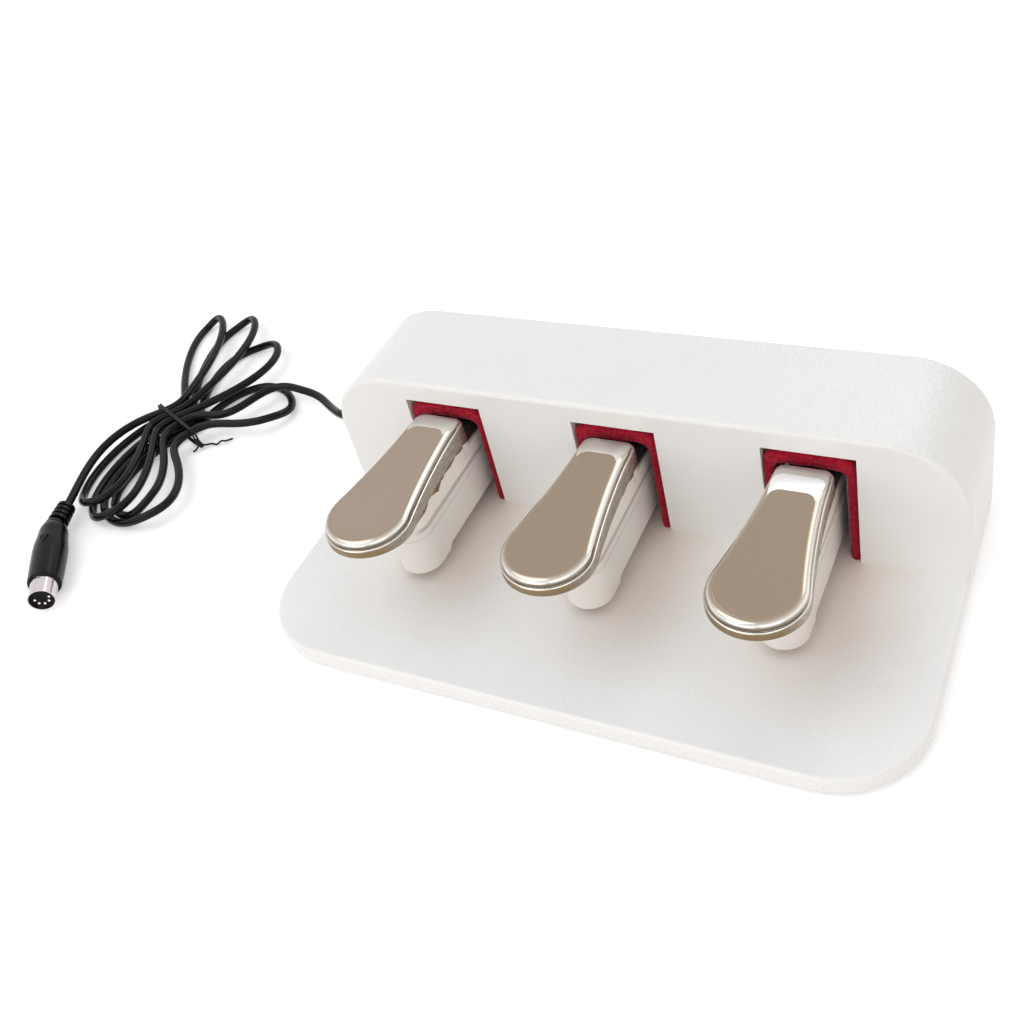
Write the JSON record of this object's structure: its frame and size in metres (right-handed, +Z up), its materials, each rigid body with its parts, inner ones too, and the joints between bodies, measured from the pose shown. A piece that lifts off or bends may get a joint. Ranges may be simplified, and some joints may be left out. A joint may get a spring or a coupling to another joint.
{
  "type": "triple pedal unit",
  "caption": "Free-standing pedal unit for a digital piano: sprung nickel pedals in felt-lined slots of a white housing on a round-cornered board, with a tied cord and round plug.",
  "frame": {"origin": "centre of the board's footprint on the floor, under the rubber feet", "axes": "+X to the right, +Y to the rear (the housing's side), +Z up; the pedals point to -Y"},
  "size_m": [0.4724, 0.2341, 0.0757],
  "materials": {
    "board": "satin, very fine pebble",
    "housing": "satin",
    "foot_rubber": "matt",
    "felt": "felted wool",
    "nickel": "polished nickel plate",
    "lever_plastic": "moulded",
    "glue": "hard glue",
    "zinc_steel": "zinc plated",
    "pin_steel": "ground",
    "pad_felt": "felt",
    "nylon": "nylon",
    "spring_steel": "drawn wire",
    "black_plastic": "moulded",
    "button": "moulded",
    "screw_steel": "zinc plated",
    "circuit": "solder mask",
    "ribbon": "vinyl",
    "cord_jacket": "soft vinyl",
    "tie_wire": "coated wire",
    "plug_plate": "nickel plate",
    "pin_plate": "nickel plate"
  },
  "bodies": {
    "pedal_left": {"pedal_cap_left": "nickel", "pedal_block_left": "lever_plastic", "glue_bed_left": "glue", "pivot_bushes_left": "nylon"},
    "plunger_left": {"switch_plunger_left": "button"},
    "pedal_centre": {"pedal_cap_centre": "nickel", "pedal_block_centre": "lever_plastic", "glue_bed_centre": "glue", "pivot_bushes_centre": "nylon"},
    "plunger_centre": {"switch_plunger_centre": "button"},
    "pedal_right": {"pedal_cap_right": "nickel", "pedal_block_right": "lever_plastic", "glue_bed_right": "glue", "pivot_bushes_right": "nylon"},
    "plunger_right": {"switch_plunger_right": "button"},
    "stand": {"base_board": "board", "housing_shell": "housing", "rubber_feet": "foot_rubber", "felt_liner_left": "felt", "felt_liner_centre": "felt", "felt_liner_right": "felt", "pivot_bracket_left": "zinc_steel", "pivot_bracket_centre": "zinc_steel", "pivot_bracket_right": "zinc_steel", "pivot_pin_left": "pin_steel", "pivot_pin_centre": "pin_steel", "pivot_pin_right": "pin_steel", "pin_clips": "pin_steel", "rest_pad_left": "pad_felt", "rest_pad_centre": "pad_felt", "rest_pad_right": "pad_felt", "wire_headers": "nylon", "return_spring_left": "spring_steel", "return_spring_centre": "spring_steel", "return_spring_right": "spring_steel", "spring_seat_left": "black_plastic", "spring_seat_centre": "black_plastic", "spring_seat_right": "black_plastic", "switch_left": "black_plastic", "switch_centre": "black_plastic", "switch_right": "black_plastic", "cord_clamp": "black_plastic", "plug_insulator": "black_plastic", "bracket_screws": "screw_steel", "housing_screws": "screw_steel", "board_screws": "screw_steel", "clamp_screws": "screw_steel", "switch_screws": "screw_steel", "circuit_board": "circuit", "wire_ribbon": "ribbon", "board_spacers": "nylon", "cord_lead": "cord_jacket", "cord_hank": "cord_jacket", "cord_inner": "cord_jacket", "cord_gland": "cord_jacket", "plug_body": "cord_jacket", "plug_relief": "cord_jacket", "cord_tie": "tie_wire", "plug_shell": "plug_plate", "plug_pins": "pin_plate"}
  },
  "joints": [
    {"name": "pedal_left_hinge", "type": "hinge", "parent": "stand", "child": "pedal_left", "pos_m": [-0.082, 0.062, 0.032], "axis": [1, 0, 0], "range_deg": [0, 2.3], "stiffness_Nm_per_rad": 5, "springref_deg": -5.73, "deforming": ["return_spring_left"]},
    {"name": "plunger_left_slide", "type": "slide", "parent": "stand", "child": "plunger_left", "axis": [0, 0, -1], "range_m": [0, 0.0005]},
    {"name": "pedal_centre_hinge", "type": "hinge", "parent": "stand", "child": "pedal_centre", "pos_m": [0, 0.062, 0.032], "axis": [1, 0, 0], "range_deg": [0, 2.3], "stiffness_Nm_per_rad": 5, "springref_deg": -5.73, "deforming": ["return_spring_centre"]},
    {"name": "plunger_centre_slide", "type": "slide", "parent": "stand", "child": "plunger_centre", "axis": [0, 0, -1], "range_m": [0, 0.0005]},
    {"name": "pedal_right_hinge", "type": "hinge", "parent": "stand", "child": "pedal_right", "pos_m": [0.082, 0.062, 0.032], "axis": [1, 0, 0], "range_deg": [0, 2.3], "stiffness_Nm_per_rad": 5, "springref_deg": -5.73, "deforming": ["return_spring_right"]},
    {"name": "plunger_right_slide", "type": "slide", "parent": "stand", "child": "plunger_right", "axis": [0, 0, -1], "range_m": [0, 0.0005]}
  ],
  "couplings": [
    {"joint": "plunger_left_slide", "follows": "pedal_left_hinge", "m_per_rad": 0.0124},
    {"joint": "plunger_centre_slide", "follows": "pedal_centre_hinge", "m_per_rad": 0.0124},
    {"joint": "plunger_right_slide", "follows": "pedal_right_hinge", "m_per_rad": 0.0124}
  ]
}
